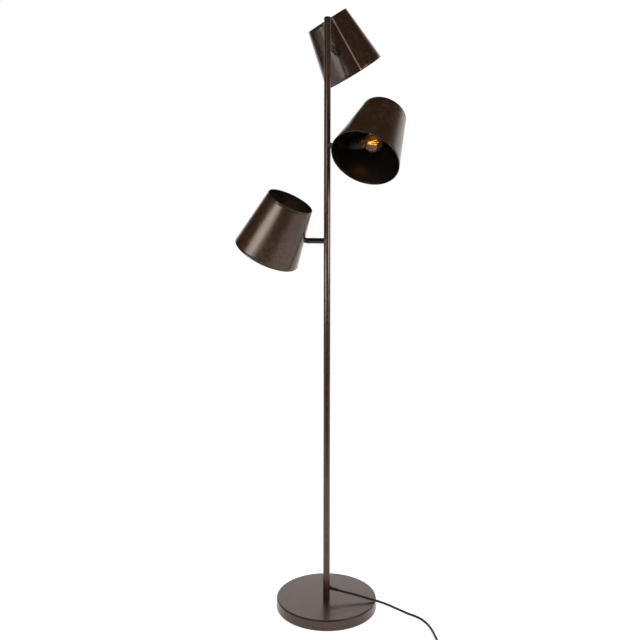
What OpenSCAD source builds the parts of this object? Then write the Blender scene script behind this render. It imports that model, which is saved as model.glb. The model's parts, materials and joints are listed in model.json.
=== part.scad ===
// Floor lamp: a weighted round base, a two-piece pole and three tilting cone shades.
// Millimetres, +Z up, the front of the lamp faces -Y.
// The origin is on the floor, under the centre of the base.

/* [Base] */
// Diameter of the base
base_d = 252; // [200:1:320]
// Height of the base
base_h = 25; // [18:1:40]
// Radius of the rounded top edge
base_edge = 3; // [2:0.5:6]
// Thickness of the metal cover
base_wall = 1.5; // [1:0.1:2.5]
// Thickness of the soft pad under the base
pad_h = 2; // [1.5:0.1:3]

/* [Pole] */
// Outer diameter of the pole
pole_d = 17; // [16.5:0.5:19]
// Wall of the pole
pole_wall = 1.5; // [1:0.1:2]
// Height of the top of the lamp
pole_top = 1488; // [1470:1:1700]
// Height of the seam between the two pole sections
seam_z = 788; // [500:1:860]
// How far the pole stands in front of the centre of the base
pole_front = 16; // [0:1:60]

/* [Heads] */
// Low head: height, direction, swivel, tilt, shade clamping angle
low_head = [925.5, 183, 129, 14, 110];
// Middle head: height, direction, swivel, tilt, shade clamping angle
mid_head = [1165, 350.5, 105, -36.5, 134.5];
// Top head: height, direction, swivel, tilt, shade clamping angle
top_head = [1421, 61, 152, 25, 98.5];

/* [Arms] */
// Outer diameter of an arm and its stub
arm_d = 14; // [13:0.5:16]
// From the pole's axis to the tilt hinge
arm_reach = 49; // [47:1:80]
// From the pole's axis to the seam between stub and arm
stub_reach = 12.7; // [12:0.1:14]
// Width of the slot in the arm's end
slot_w = 6.2; // [5:0.1:7]
// Diameter of the hinge screw
hinge_d = 4; // [3:0.5:4]

/* [Shade] */
// Diameter of the small end
small_d = 115; // [100:1:120]
// Diameter of the large end
large_d = 170; // [150:1:200]
// Length along its axis
shade_len = 148; // [140:1:180]
// Wall of the shade
shade_wall = 1; // [0.8:0.1:2]
// From the large end to the hole of the lampholder, along the axis
entry_from_large = 68; // [55:1:90]
// Angle of the weld seam round the shade's axis, from the lampholder's hole
seam_angle = 335; // [20:1:340]

/* [Lampholder and bulb] */
// From the tilt hinge to the outside of the shade
knuckle_reach = 9.5; // [9:0.5:14]
// Outer diameter of the lampholder
holder_d = 27.5; // [26:0.5:30]
// From the outside of the shade to the lampholder's front
holder_reach = 48.5; // [46:0.5:52]
// Diameter of the bulb
bulb_d = 45; // [40:1:60]
// From the outside of the shade to the bulb's centre
bulb_reach = 78; // [76:1:84]

/* [Cord] */
// Diameter of the supply cord
cord_d = 5.5; // [5:0.1:5.5]
// Distance between the loops of the coil
coil_pitch = 6; // [6:0.1:7]
// Smallest radius of the coil's loops
coil_inner_r = 22; // [22:0.5:30]
// Loops in the coil, a half more than a whole number
coil_loops = 6.5; // [2.5:1:9.5]

/* [Foot switch and plug] */
// Length of the foot switch
switch_len = 70; // [64:1:90]
// Width of the foot switch
switch_w = 38; // [34:1:50]
// Height of the foot switch's cover
switch_h = 20; // [19:1:30]
// Diameter of the button
button_d = 24; // [18:1:26]
// Travel of the button
button_travel = 3; // [1:0.5:3]
// Width of the plug
plug_w = 35; // [34:0.5:36]

/* [Hidden] */
$fn = 64;

bronze = "#3a2a20";
black = "#1a1a1c";
brass = "#b5924c";
steel = "#8a8a8a";
cable = "#221c1a";

// Places in a head's description
Z = 0;
DIRECTION = 1;
SWIVEL = 2;
TILT = 3;
CLAMP = 4;

// Base and pole
pole_r = pole_d / 2;
bore_r = pole_r - pole_wall;
stud_r = 5;
stud_hole_r = 5.1;
recess_r = 15;
recess_top = 10.5;
washer_h = 1.5;
nut_h = 5;
nut_flats = 17;
insert_gap = 0.05;
cap_h = 4;
cap_edge = 0.8;

// Arms: a hollow spigot in the stub carries the arm, and a screw in a groove keeps it on
spigot_r = 4.95;
spigot_end = 33;
arm_bore_r = 5;
wire_r = 2.5;
groove_x = 24;
groove_w = 3.2;
groove_r = 3.95;
stop_w = 1.4;
arm_screw_r = 1.5;
arm_screw_tip = 4.25;
arm_gap = 0.3;
arm_end = arm_reach + 4;
arm_bevel = [1.5, 2.5];
tongue_r = 6;
tongue_w = slot_w - 0.2;
slot_from = arm_reach - tongue_r - 0.6;
head_seat = 5;
hinge_head_r = 3.3;
hinge_pocket_r = 3.4;
hinge_head_h = 1.9;

// Head
flange_r = 8;
flange_h = 2.2;
nipple_r = 5;
nipple_len = 16;
nipple_bore_r = 3.2;
wire_hole_slope = 76.5;
lean = atan((large_d - small_d) / 2 / shade_len);
entry_r = large_d / 2 - (large_d - small_d) / 2 * entry_from_large / shade_len;
ring_r = 10;
ring_front = 4.2;
holder_r = holder_d / 2;
holder_bore_r = 10;
core_from = 14;
core_front = 47;
cap_r = 6.9;
cap_from = 24;
cap_to = 43;
glass_wall = 0.7;
neck_r = 6.6;

// Cord
cord_r = cord_d / 2;
cord_sides = 10;
coil_sides = 6;
bush_z = 51;
bush_len_in = 3;
hole_r = 4;
run_points = [
    [30, -20, 46], [45, -22, 43.2], [60, -24, 40.4], [75, -26.5, 37.5], [90, -29.5, 34.4],
    [105, -32, 31.3], [118, -33.5, 28.4], [131, -35.5, 25.2], [145, -37.5, 21.4],
    [159, -40, 16.8], [173, -42.5, 11.8], [186, -45.5, 7.4], [198, -50, 4.2],
    [209, -56, 2.9], [220, -65, 2.8], [229, -76, 2.8], [236, -89, 2.8], [241, -103, 2.8],
    [244, -117, 2.8], [246, -131, 2.8], [247, -145, 2.8], [248, -159, 2.8],
    [249, -173, 2.8], [250, -187, 3], [250, -198, 4], [250, -208, 4.5], [250, -214, 4.5]
];
run_end = run_points[len(run_points) - 1];
boot_len = 10;
switch_y = run_end.y - boot_len - switch_len / 2;
lead_in = 20;
lead_out = 25;
coil_start = [run_end.x, switch_y - switch_len / 2 - boot_len, run_end.z];
coil_outer_r = coil_inner_r + coil_pitch * coil_loops / 2;
coil_centre = [coil_start.x - coil_outer_r, coil_start.y - lead_in];
coil_low_z = 2.8;
coil_high_z = coil_low_z + coil_pitch;
rings_per_loop = 24;
plug_z = 7;
plug_len = 40;
plug_start = [coil_centre.x - coil_outer_r, coil_centre.y + lead_out];
pin_len = 19;
pin_r = 2;
pin_spacing = 18.6;

// Foot switch: where the base and cover meet, and its two screws
split_z = 8;
screw_y = switch_len / 2 - 9;

// Inner cable: from the bush's tip it bends up inside the pole to the terminal block
block_z = 860;
block_size = [8, 7, 24];
bush_heading = atan2(run_points[0].y + pole_front, run_points[0].x);
bush_reach = norm([run_points[0].x, run_points[0].y + pole_front]);
bush_slope = atan((bush_z - run_points[0].z) / (bush_reach - pole_r));
bend_r = 16;
bend_centre = [pole_r + bend_r * sin(bush_slope), bush_z + bend_r * cos(bush_slope)];
inner_points = concat(
    [[bush_reach, 0, run_points[0].z]],
    [for (turn = [bush_slope : (90 - bush_slope) / 5 : 90.1])
        [bend_centre.x - bend_r * sin(turn), 0, bend_centre.y - bend_r * cos(turn)]],
    [[-3.8, 0, 85], [-2.4, 0, 115], [-0.8, 0, 145], [0, 0, 175], [0, 0, block_z]]
);

// Vectors along a path: the direction at each point, and a tube swept along the points
function unit(v) = v / norm(v);
function direction(path, i) =
    unit(path[min(i + 1, len(path) - 1)] - path[max(i - 1, 0)]);
function side_of(d) = unit(cross([0, 0, 1], d));
function ring(path, i, r, sides) =
    let (d = direction(path, i))
    let (u = abs(d.z) > 0.9 ? unit(cross([0, 1, 0], d)) : side_of(d))
    let (v = cross(d, u))
    [for (k = [0 : sides - 1]) path[i] + r * (cos(360 * k / sides) * u + sin(360 * k / sides) * v)];

module tube(path, r, sides) {
    last = len(path) - 1;
    points = [for (i = [0 : last]) each ring(path, i, r, sides)];
    start_face = [[for (k = [0 : sides - 1]) k]];
    end_face = [[for (k = [sides - 1 : -1 : 0]) last * sides + k]];
    walls = [for (i = [0 : last - 1], k = [0 : sides - 1])
        let (a = i * sides + k, b = i * sides + (k + 1) % sides)
        each [[a, a + sides, b + sides], [a, b + sides, b]]];
    polyhedron(points = points, faces = concat(start_face, walls, end_face), convexity = 10);
}

// The coil spirals in on the floor, climbs one layer in the half loop where it turns, and
// spirals out on top. It runs clockwise from its east side.
function smooth(t) = let (c = max(0, min(1, t))) c * c * (3 - 2 * c);
function coil_r(loop) = coil_inner_r + coil_pitch * abs(loop - coil_loops / 2);
function coil_z(loop) =
    coil_low_z + (coil_high_z - coil_low_z) * smooth((loop - coil_loops / 2) * 2 + 0.5);
function coil_point(loop) = [
    coil_centre.x + coil_r(loop) * cos(-360 * loop),
    coil_centre.y + coil_r(loop) * sin(-360 * loop),
    coil_z(loop)
];
coil_loop_points = [for (i = [0 : coil_loops * rings_per_loop]) coil_point(i / rings_per_loop)];
coil_points = concat(
    [coil_start, coil_start - [0, cord_d, 0], coil_start - [0, 10, 0.5], coil_start - [0, 15, 1.4]],
    coil_loop_points,
    [[plug_start.x, plug_start.y - 17, 8.4], [plug_start.x, plug_start.y - 10, 7.3],
        [plug_start.x, plug_start.y - cord_d, plug_z], [plug_start.x, plug_start.y, plug_z]]
);
coil_gap = min([for (i = [0 : len(coil_loop_points) - 1 - rings_per_loop / 2])
    min([for (j = [i + rings_per_loop / 2 : len(coil_loop_points) - 1])
        norm(coil_loop_points[i] - coil_loop_points[j])])]) - cord_d;
function path_length(path) =
    [for (i = [1 : len(path) - 1]) norm(path[i] - path[i - 1])] * [for (i = [1 : len(path) - 1]) 1];
echo(coil_gap = coil_gap, run = path_length(run_points), coil = path_length(coil_points));

// Frames of a head: its place on the pole, the arm, the knuckle and the shade
module at_pole() {
    translate([0, -pole_front, 0]) children();
}
module at_head(head) {
    at_pole() translate([0, 0, head[Z]]) rotate([0, 0, head[DIRECTION]]) children();
}
module on_arm(head) {
    at_head(head) rotate([head[SWIVEL], 0, 0]) children();
}
module on_knuckle(head) {
    on_arm(head) translate([arm_reach, 0, 0]) rotate([0, head[TILT], 0]) children();
}
module on_shade(head) {
    on_knuckle(head) rotate([head[CLAMP], 0, 0]) children();
}
// Moves to the small end's centre, with +Z along the shade's axis
module on_shade_axis() {
    along = entry_from_large - entry_r * tan(lean) - shade_len;
    translate([knuckle_reach + entry_r / cos(lean), 0, 0])
        rotate([0, 0, -lean]) rotate([-90, 0, 0]) translate([0, 0, along]) children();
}

// A cylinder along X from x = from to x = to
module rod(from, to, r) {
    translate([from, 0, 0]) rotate([0, 90, 0]) cylinder(h = to - from, r = r);
}
// A cylinder along Y from y = from to y = to
module pin(from, to, r) {
    translate([0, from, 0]) rotate([-90, 0, 0]) cylinder(h = to - from, r = r);
}
// Turns a profile of points [x, r] round the X axis
module turned(profile) {
    rotate([0, 90, 0]) rotate_extrude() polygon([for (p = profile) [p.y, p.x]]);
}

module base_profile(r, h, edge) {
    square([r, h - edge]);
    square([r - edge, h]);
    translate([r - edge, h - edge]) intersection() {
        circle(r = edge);
        square(edge);
    }
}

module base_pad() {
    color("#2b2b2b") cylinder(h = pad_h, r = base_d / 2 - 4, $fn = 96);
}

module base_cover() {
    lift = 0.8;
    color(bronze) difference() {
        rotate_extrude($fn = 96) difference() {
            base_profile(base_d / 2, base_h, base_edge);
            base_profile(base_d / 2 - base_wall, base_h - base_wall, base_edge - base_wall);
            square([base_d, lift]);
        }
        at_pole() cylinder(h = base_h + 1, r = stud_hole_r);
    }
}

module base_weight() {
    r = base_d / 2 - base_wall - 0.3;
    chamfer = 2.5;
    top = base_h - base_wall;
    color("#4a4a4a") difference() {
        union() {
            translate([0, 0, pad_h]) cylinder(h = top - chamfer - pad_h, r = r, $fn = 96);
            translate([0, 0, top - chamfer]) cylinder(h = chamfer, r1 = r, r2 = r - chamfer, $fn = 96);
        }
        at_pole() cylinder(h = base_h, r = stud_hole_r);
        at_pole() cylinder(h = recess_top, r = recess_r);
    }
}

module base_washer() {
    color(steel) at_pole() translate([0, 0, recess_top - washer_h]) difference() {
        cylinder(h = washer_h, r = 12);
        translate([0, 0, -1]) cylinder(h = washer_h + 2, r = stud_hole_r);
    }
}

module base_nut() {
    color(steel) at_pole() translate([0, 0, recess_top - washer_h - nut_h]) difference() {
        cylinder(h = nut_h, r = nut_flats / 2 / cos(30), $fn = 6);
        translate([0, 0, -1]) cylinder(h = nut_h + 2, r = stud_r);
    }
}

// Threaded stud below, and the plug above that the pole slides over
module pole_foot() {
    plug_h = 20;
    stud_end = 3.2;
    color(steel) at_pole() {
        translate([0, 0, stud_end]) cylinder(h = base_h - stud_end, r = stud_r);
        translate([0, 0, base_h]) cylinder(h = plug_h, r = bore_r - insert_gap);
    }
}

// The cord's way out of the pole, +X outwards from the pole's wall
module on_bush() {
    rotate([0, 0, bush_heading]) translate([pole_r, 0, bush_z])
        rotate([0, bush_slope, 0]) children();
}

module pole_lower() {
    color(bronze) at_pole() difference() {
        translate([0, 0, base_h]) cylinder(h = seam_z - base_h, r = pole_r);
        cylinder(h = seam_z + 1, r = bore_r);
        on_bush() rod(-5, 5, hole_r);
    }
}

module pole_coupler() {
    half = 30;
    color(steel) at_pole() translate([0, 0, seam_z - half]) difference() {
        cylinder(h = 2 * half, r = bore_r - insert_gap);
        translate([0, 0, -1]) cylinder(h = 2 * half + 2, r = 5);
    }
}

module pole_upper() {
    color(bronze) difference() {
        at_pole() difference() {
            translate([0, 0, seam_z]) cylinder(h = pole_top - cap_h - seam_z, r = pole_r);
            translate([0, 0, seam_z - 1]) cylinder(h = pole_top, r = bore_r);
        }
        for (head = [low_head, mid_head, top_head]) at_head(head) rod(0, pole_d, 3);
    }
}

module pole_cap() {
    plug_h = 12;
    color(bronze) at_pole() {
        translate([0, 0, pole_top - cap_h - plug_h]) cylinder(h = plug_h, r = bore_r - insert_gap);
        translate([0, 0, pole_top - cap_h]) rotate_extrude() base_profile(pole_r, cap_h, cap_edge);
    }
}

// Tapered strain relief, snapped into the pole's wall
module cable_bush() {
    tip = (bush_reach - pole_r) / cos(bush_slope);
    collar_h = 2.2;
    color(black) at_pole() difference() {
        on_bush() difference() {
            union() {
                rod(-bush_len_in, 1, hole_r);
                turned([[-0.8, 0], [-0.8, 4.8], [collar_h - 0.8, 4.8], [collar_h, 4.2], [tip, 3.4], [tip, 0]]);
            }
            rod(-6, tip + 1, cord_r + 0.15);
        }
        difference() {
            cylinder(h = 2 * bush_z, r = pole_r);
            on_bush() rod(-9, 1, hole_r);
        }
    }
}

module inner_cable() {
    color(cable) at_pole() rotate([0, 0, bush_heading]) tube(inner_points, cord_r, cord_sides);
}

module terminal_block() {
    color("#d8d8d0") at_pole() translate([0, 0, block_z]) difference() {
        translate([0, 0, block_size.z / 2]) cube(block_size, center = true);
        for (x = [-2, 2]) translate([x, 0, -1]) cylinder(h = block_size.z + 2, r = 1.2);
        for (x = [-2, 2], z = [6, 18]) translate([x, 0, z]) pin(0, block_size.y, 1.2);
    }
}

// Three welded stubs with their spigots
module arm_stubs() {
    color(bronze) for (head = [low_head, mid_head, top_head]) arm_stub(head);
}
module arm_stub(head) {
    stub_from = 4;
    difference() {
        on_arm(head) difference() {
            union() {
                rod(stub_from, stub_reach, arm_d / 2);
                rod(stub_reach, spigot_end, spigot_r);
            }
            rod(0, spigot_end + 1, wire_r + 0.5);
            difference() {
                rod(groove_x, groove_x + groove_w, spigot_r + 1);
                rod(groove_x - 1, groove_x + groove_w + 1, groove_r);
                translate([groove_x - 1, 0, -stop_w / 2]) cube([groove_w + 2, spigot_r, stop_w]);
            }
        }
        at_head(head) cylinder(h = 40, r = pole_r, center = true);
    }
}

// Arm: turns on the spigot, and its slotted end holds the hinge
module arm(head) {
    color(bronze) on_arm(head) difference() {
        turned([
            [stub_reach + arm_gap, 0], [stub_reach + arm_gap, arm_d / 2],
            [arm_end - arm_bevel.y, arm_d / 2], [arm_end, arm_d / 2 - arm_bevel.x], [arm_end, 0]
        ]);
        rod(0, spigot_end + 1, arm_bore_r);
        rod(spigot_end, arm_end, wire_r);
        translate([slot_from, -slot_w / 2, -arm_d]) cube([arm_d, slot_w, 2 * arm_d]);
        translate([arm_reach, 0, 0]) {
            pin(-arm_d, arm_d, hinge_d / 2);
            pin(head_seat, arm_d, hinge_pocket_r);
            pin(-arm_d, -head_seat, hinge_pocket_r);
        }
        translate([groove_x + groove_w / 2, 0, 0]) pin(-arm_d, 0, arm_screw_r);
    }
}

// Screw whose tip runs in the spigot's groove
module arm_screw(head) {
    hex_r = 0.9;
    socket_depth = 1.2;
    reach = arm_d / 2 - 0.15;
    color(steel) on_arm(head) translate([groove_x + groove_w / 2, 0, 0]) difference() {
        union() {
            pin(-reach, -arm_bore_r, arm_screw_r);
            pin(-arm_bore_r, -arm_screw_tip, 1.1);
        }
        translate([0, -reach - 1, 0]) rotate([-90, 0, 0]) cylinder(h = socket_depth + 1, r = hex_r, $fn = 6);
    }
}

module hinge_screw(head) {
    slot_depth = 0.8;
    color(steel) on_arm(head) translate([arm_reach, 0, 0]) difference() {
        union() {
            pin(-head_seat - 1.5, head_seat, hinge_d / 2);
            pin(head_seat, head_seat + hinge_head_h, hinge_head_r);
        }
        translate([-arm_d / 2, head_seat + hinge_head_h - slot_depth, -0.5]) cube([arm_d, arm_d, 1]);
    }
}

module hinge_nut(head) {
    color(steel) on_arm(head) translate([arm_reach, 0, 0]) difference() {
        pin(-head_seat - hinge_head_h, -head_seat, hinge_head_r);
        pin(-arm_d, 0, hinge_d / 2);
    }
}

// Tongue in the slot, flange against the shade and hollow threaded nipple
module knuckle(head) {
    wire_hole_r = 1.2;
    wire_hole_from = [knuckle_reach + 3, 0, 1.6];
    color(bronze) on_knuckle(head) difference() {
        union() {
            pin(-tongue_w / 2, tongue_w / 2, tongue_r);
            translate([0, -tongue_w / 2, -tongue_r])
                cube([knuckle_reach - flange_h + 0.1, tongue_w, 2 * tongue_r]);
            difference() {
                rod(knuckle_reach - flange_h, knuckle_reach + 1, flange_r);
                rotate([head[CLAMP], 0, 0]) shade_body();
            }
            rod(knuckle_reach - 1, knuckle_reach + nipple_len, nipple_r);
        }
        pin(-arm_d, arm_d, hinge_d / 2 + 0.05);
        rod(knuckle_reach + 1, knuckle_reach + nipple_len + 1, nipple_bore_r);
        translate(wire_hole_from) rotate([0, -wire_hole_slope, 0])
            cylinder(h = 3 * knuckle_reach, r = wire_hole_r);
    }
}

// The solid cone that the shade's outside follows
module shade_body() {
    on_shade_axis() cylinder(h = shade_len, r1 = small_d / 2, r2 = large_d / 2, $fn = 128);
}
module shade_shell() {
    on_shade_axis() rotate_extrude($fn = 128) polygon([
        [small_d / 2 - shade_wall, 0], [small_d / 2, 0],
        [large_d / 2, shade_len], [large_d / 2 - shade_wall, shade_len]
    ]);
}

module shade(head) {
    seam_r = 0.9;
    slant = norm([shade_len, (large_d - small_d) / 2]);
    color(bronze) on_shade(head) difference() {
        union() {
            shade_shell();
            on_shade_axis() rotate([0, 0, 180 + seam_angle]) translate([small_d / 2 - 0.5, 0, 0])
                rotate([0, lean, 0]) translate([0, 0, 1]) cylinder(h = slant - 2, r = seam_r);
        }
        rod(0, 2 * knuckle_reach, nipple_r);
    }
}

// Ring nut that clamps the shade's wall against the flange
module shade_ring(head) {
    color(steel) on_shade(head) difference() {
        rod(knuckle_reach + 0.8, knuckle_reach + ring_front, ring_r);
        rod(0, 30, nipple_r);
        shade_shell();
    }
}

module holder(head) {
    front = knuckle_reach + holder_reach;
    back = knuckle_reach + ring_front;
    cavity = knuckle_reach + core_from;
    bore_r = nipple_r + insert_gap;
    color(black) on_shade(head) turned([
        [back, bore_r], [back, 9], [back + 3, 11.5], [back + 8, 12.6], [back + 9, holder_r],
        [front - 16, holder_r], [front - 16, holder_r - 0.6], [front - 14, holder_r - 0.6],
        [front - 14, holder_r], [front - 2, holder_r], [front, holder_r - 1.2],
        [front, holder_bore_r], [cavity, holder_bore_r], [cavity, bore_r]
    ]);
}

// Threaded core that the bulb's cap screws into
module holder_core(head) {
    back = knuckle_reach + 17;
    floor_h = 4;
    color("#c9c2b2") on_shade(head) turned([
        [back, 0], [back, holder_bore_r - 0.1], [knuckle_reach + core_front, holder_bore_r - 0.1],
        [knuckle_reach + core_front, cap_r + 0.2], [back + floor_h, cap_r + 0.2], [back + floor_h, 0]
    ]);
}

module bulb_cap(head) {
    from = knuckle_reach + cap_from;
    to = knuckle_reach + cap_to;
    color(brass) on_shade(head) turned([
        [from - 1.5, 0], [from - 1.5, 3], [from, 4.5], [from, cap_r], [to, cap_r], [to, 0]
    ]);
}

// Hollow glass: a neck that flares into the globe
module bulb_glass(head) {
    color("#f3e6c8", 0.4) on_shade(head) difference() {
        glass_form(0, knuckle_reach + cap_to);
        glass_form(glass_wall, knuckle_reach + cap_to + glass_wall);
    }
}
module glass_form(inset, from) {
    centre = knuckle_reach + bulb_reach;
    r = bulb_d / 2;
    join = 38;
    flare_from = knuckle_reach + cap_to + 4;
    translate([centre, 0, 0]) sphere(r = r - inset, $fn = 96);
    rod(from, flare_from + 0.5, neck_r - inset);
    turned([
        [flare_from, 0], [flare_from, neck_r - inset],
        [centre - (r - inset) * cos(join), (r - inset) * sin(join)], [centre, 0]
    ]);
}

// Glass stem and a cage of four lit strips
module filament(head) {
    from = knuckle_reach + cap_to + glass_wall;
    strip_from = knuckle_reach + bulb_reach - 14;
    strip_len = 26;
    color("#e8a23a") on_shade(head) {
        rod(from, strip_from, 2.5);
        rod(strip_from - 0.5, strip_from + strip_len, 0.5);
        for (turn = [45 : 90 : 315]) rotate([turn, 0, 0]) translate([strip_from, 0, 1.8])
            rotate([0, 90 - 8, 0]) cylinder(h = strip_len, r = 0.9);
        translate([strip_from + strip_len - 0.6, 0, 0]) rod(0, 0.8, 6);
    }
}

module cord_run() {
    color(cable) tube(run_points, cord_r, cord_sides);
}

module cord_coil() {
    color(cable) tube(coil_points, cord_r, coil_sides);
}

// Outline with round ends, in the XY plane, of half-width r
module switch_outline(r) {
    offset_y = (switch_len - switch_w) / 2;
    for (y = [-offset_y, offset_y]) translate([0, y]) circle(r = r);
    square([2 * r, 2 * offset_y], center = true);
}
module at_switch() {
    translate([run_end.x, switch_y, 0]) children();
}

module switch_base() {
    boot = [3.5, 3.1];
    color(black) at_switch() {
        difference() {
            linear_extrude(split_z) switch_outline(switch_w / 2);
            translate([0, 0, 3]) linear_extrude(split_z) switch_outline(switch_w / 2 - 2.5);
            for (y = [-screw_y, screw_y]) translate([0, y, -1]) {
                cylinder(h = 3, r = 3);
                cylinder(h = 10, r = 1.6);
            }
        }
        for (side = [-1, 1]) scale([1, side, 1])
            translate([0, switch_len / 2 - 1, run_end.z]) rotate([-90, 0, 0])
                cylinder(h = boot_len + 1, r1 = boot[0], r2 = boot[1]);
    }
}

// Lofted cover: straight up to the shoulder, then drawn in to the top
module switch_cover_form(r, from, shoulder, top, draw) {
    offset_y = (switch_len - switch_w) / 2;
    translate([0, 0, from]) linear_extrude(shoulder - from) switch_outline(r);
    for (y = [-offset_y, offset_y]) translate([0, y, shoulder])
        cylinder(h = top - shoulder, r1 = r, r2 = r - draw);
    translate([0, offset_y, shoulder]) rotate([90, 0, 0]) linear_extrude(2 * offset_y)
        polygon([[-r, 0], [r, 0], [r - draw, top - shoulder], [draw - r, top - shoulder]]);
}

module switch_cover() {
    wall = 2;
    shoulder = 14;
    draw = 4;
    color(black) at_switch() {
        difference() {
            switch_cover_form(switch_w / 2, split_z, shoulder, switch_h, draw);
            switch_cover_form(switch_w / 2 - wall, split_z - 1, shoulder, switch_h - wall, draw);
            cylinder(h = switch_h + 1, r = button_d / 2 + 0.3);
        }
        for (y = [-screw_y, screw_y]) translate([0, y, split_z]) difference() {
            cylinder(h = switch_h - split_z - 1, r = 3.5);
            translate([0, 0, -1]) cylinder(h = 8, r = 1.5);
        }
    }
}

module switch_button() {
    skirt_z = 12;
    color("#2a2a2c") at_switch() translate([0, 0, skirt_z]) rotate_extrude()
        difference() {
            base_profile(button_d / 2, switch_h + button_travel + 1.5 - skirt_z, 2);
            translate([0, -1]) square([button_d / 2 - 3, 4]);
        }
}

module switch_module() {
    color("#8d2f24") at_switch() translate([-9, -7, 3]) cube([18, 14, 5.6]);
}

module switch_screws() {
    color(steel) at_switch() for (y = [-screw_y, screw_y]) translate([0, y, 0]) {
        translate([0, 0, 0.6]) cylinder(h = 1.4, r = 2.8);
        translate([0, 0, 2]) cylinder(h = 11, r = 1.5);
    }
}

// Flat two-pin plug, lying on the floor with its pins away from the coil
module plug_body() {
    slab = [14, 12];
    color(black) translate([plug_start.x, plug_start.y, plug_z]) rotate([-90, 0, 0]) {
        hull() {
            cylinder(h = 1, r = 4.6, $fn = 32);
            translate([0, 0, 14]) cylinder(h = 1, r = 6, $fn = 32);
        }
        hull() {
            translate([0, 0, 14]) cylinder(h = 1, r = 6, $fn = 32);
            for (x = [-1, 1]) translate([x * (plug_w - slab[0]) / 2, 0, plug_len - slab[1]])
                cylinder(h = slab[1], r = slab[0] / 2, $fn = 32);
        }
    }
}

module plug_pins() {
    color(steel) for (x = [-1, 1])
        translate([plug_start.x + x * pin_spacing / 2, plug_start.y + plug_len, plug_z])
            rotate([-90, 0, 0]) {
                cylinder(h = pin_len - 1, r = pin_r);
                translate([0, 0, pin_len - 1]) cylinder(h = 1, r1 = pin_r, r2 = pin_r - 0.7);
            }
}

base_pad();
base_cover();
base_weight();
base_washer();
base_nut();
pole_foot();
pole_lower();
pole_coupler();
pole_upper();
pole_cap();
cable_bush();
inner_cable();
terminal_block();
arm_stubs();

arm(low_head);  // low_arm
arm_screw(low_head);  // low_arm_screw
hinge_screw(low_head);  // low_hinge_screw
hinge_nut(low_head);  // low_hinge_nut
knuckle(low_head);  // low_knuckle
shade(low_head);  // low_shade
shade_ring(low_head);  // low_shade_ring
holder(low_head);  // low_holder
holder_core(low_head);  // low_holder_core
bulb_cap(low_head);  // low_bulb_cap
bulb_glass(low_head);  // low_bulb_glass
filament(low_head);  // low_filament

arm(mid_head);  // mid_arm
arm_screw(mid_head);  // mid_arm_screw
hinge_screw(mid_head);  // mid_hinge_screw
hinge_nut(mid_head);  // mid_hinge_nut
knuckle(mid_head);  // mid_knuckle
shade(mid_head);  // mid_shade
shade_ring(mid_head);  // mid_shade_ring
holder(mid_head);  // mid_holder
holder_core(mid_head);  // mid_holder_core
bulb_cap(mid_head);  // mid_bulb_cap
bulb_glass(mid_head);  // mid_bulb_glass
filament(mid_head);  // mid_filament

arm(top_head);  // top_arm
arm_screw(top_head);  // top_arm_screw
hinge_screw(top_head);  // top_hinge_screw
hinge_nut(top_head);  // top_hinge_nut
knuckle(top_head);  // top_knuckle
shade(top_head);  // top_shade
shade_ring(top_head);  // top_shade_ring
holder(top_head);  // top_holder
holder_core(top_head);  // top_holder_core
bulb_cap(top_head);  // top_bulb_cap
bulb_glass(top_head);  // top_bulb_glass
filament(top_head);  // top_filament

cord_run();
cord_coil();
switch_base();
switch_cover();
switch_button();
switch_module();
switch_screws();
plug_body();
plug_pins();
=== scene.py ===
"""Dresses the three-head floor lamp: its finishes, detailed pieces, cord and a plain studio."""

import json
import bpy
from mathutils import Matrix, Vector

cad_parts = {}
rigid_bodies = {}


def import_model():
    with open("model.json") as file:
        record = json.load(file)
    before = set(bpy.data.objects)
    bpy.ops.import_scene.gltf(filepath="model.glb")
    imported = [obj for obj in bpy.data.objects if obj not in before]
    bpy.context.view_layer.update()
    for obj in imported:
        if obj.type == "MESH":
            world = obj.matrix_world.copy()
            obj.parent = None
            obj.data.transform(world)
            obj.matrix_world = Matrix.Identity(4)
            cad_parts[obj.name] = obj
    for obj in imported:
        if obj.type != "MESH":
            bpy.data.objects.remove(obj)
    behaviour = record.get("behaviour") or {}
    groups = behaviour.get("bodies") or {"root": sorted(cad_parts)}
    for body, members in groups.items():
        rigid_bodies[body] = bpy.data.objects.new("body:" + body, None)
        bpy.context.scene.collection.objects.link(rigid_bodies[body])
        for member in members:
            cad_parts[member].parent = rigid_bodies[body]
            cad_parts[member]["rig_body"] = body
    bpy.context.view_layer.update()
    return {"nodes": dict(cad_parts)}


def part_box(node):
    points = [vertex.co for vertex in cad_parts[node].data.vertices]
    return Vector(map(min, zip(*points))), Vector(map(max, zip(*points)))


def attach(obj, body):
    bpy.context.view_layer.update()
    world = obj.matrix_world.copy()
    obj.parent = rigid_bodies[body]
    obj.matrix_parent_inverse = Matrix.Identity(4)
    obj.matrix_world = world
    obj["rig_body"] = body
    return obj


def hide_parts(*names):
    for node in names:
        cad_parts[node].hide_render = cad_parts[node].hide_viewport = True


bl_info = {
    "name": "Three-Head Floor Lamp",
    "version": (1, 0, 0),
    "blender": (4, 5, 0),
    "location": "View3D > Sidebar > Floor Lamp",
    "description": "Bronze cone shades, bulbs, pole, cord and foot switch around the packed frame",
    "category": "Add Mesh",
}

from math import atan, atan2, cos, hypot, radians, sin, tan

import bmesh
import bpy
import numpy as np
from bpy.props import FloatProperty, FloatVectorProperty, IntProperty, PointerProperty

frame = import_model()

mm = 0.001

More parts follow.
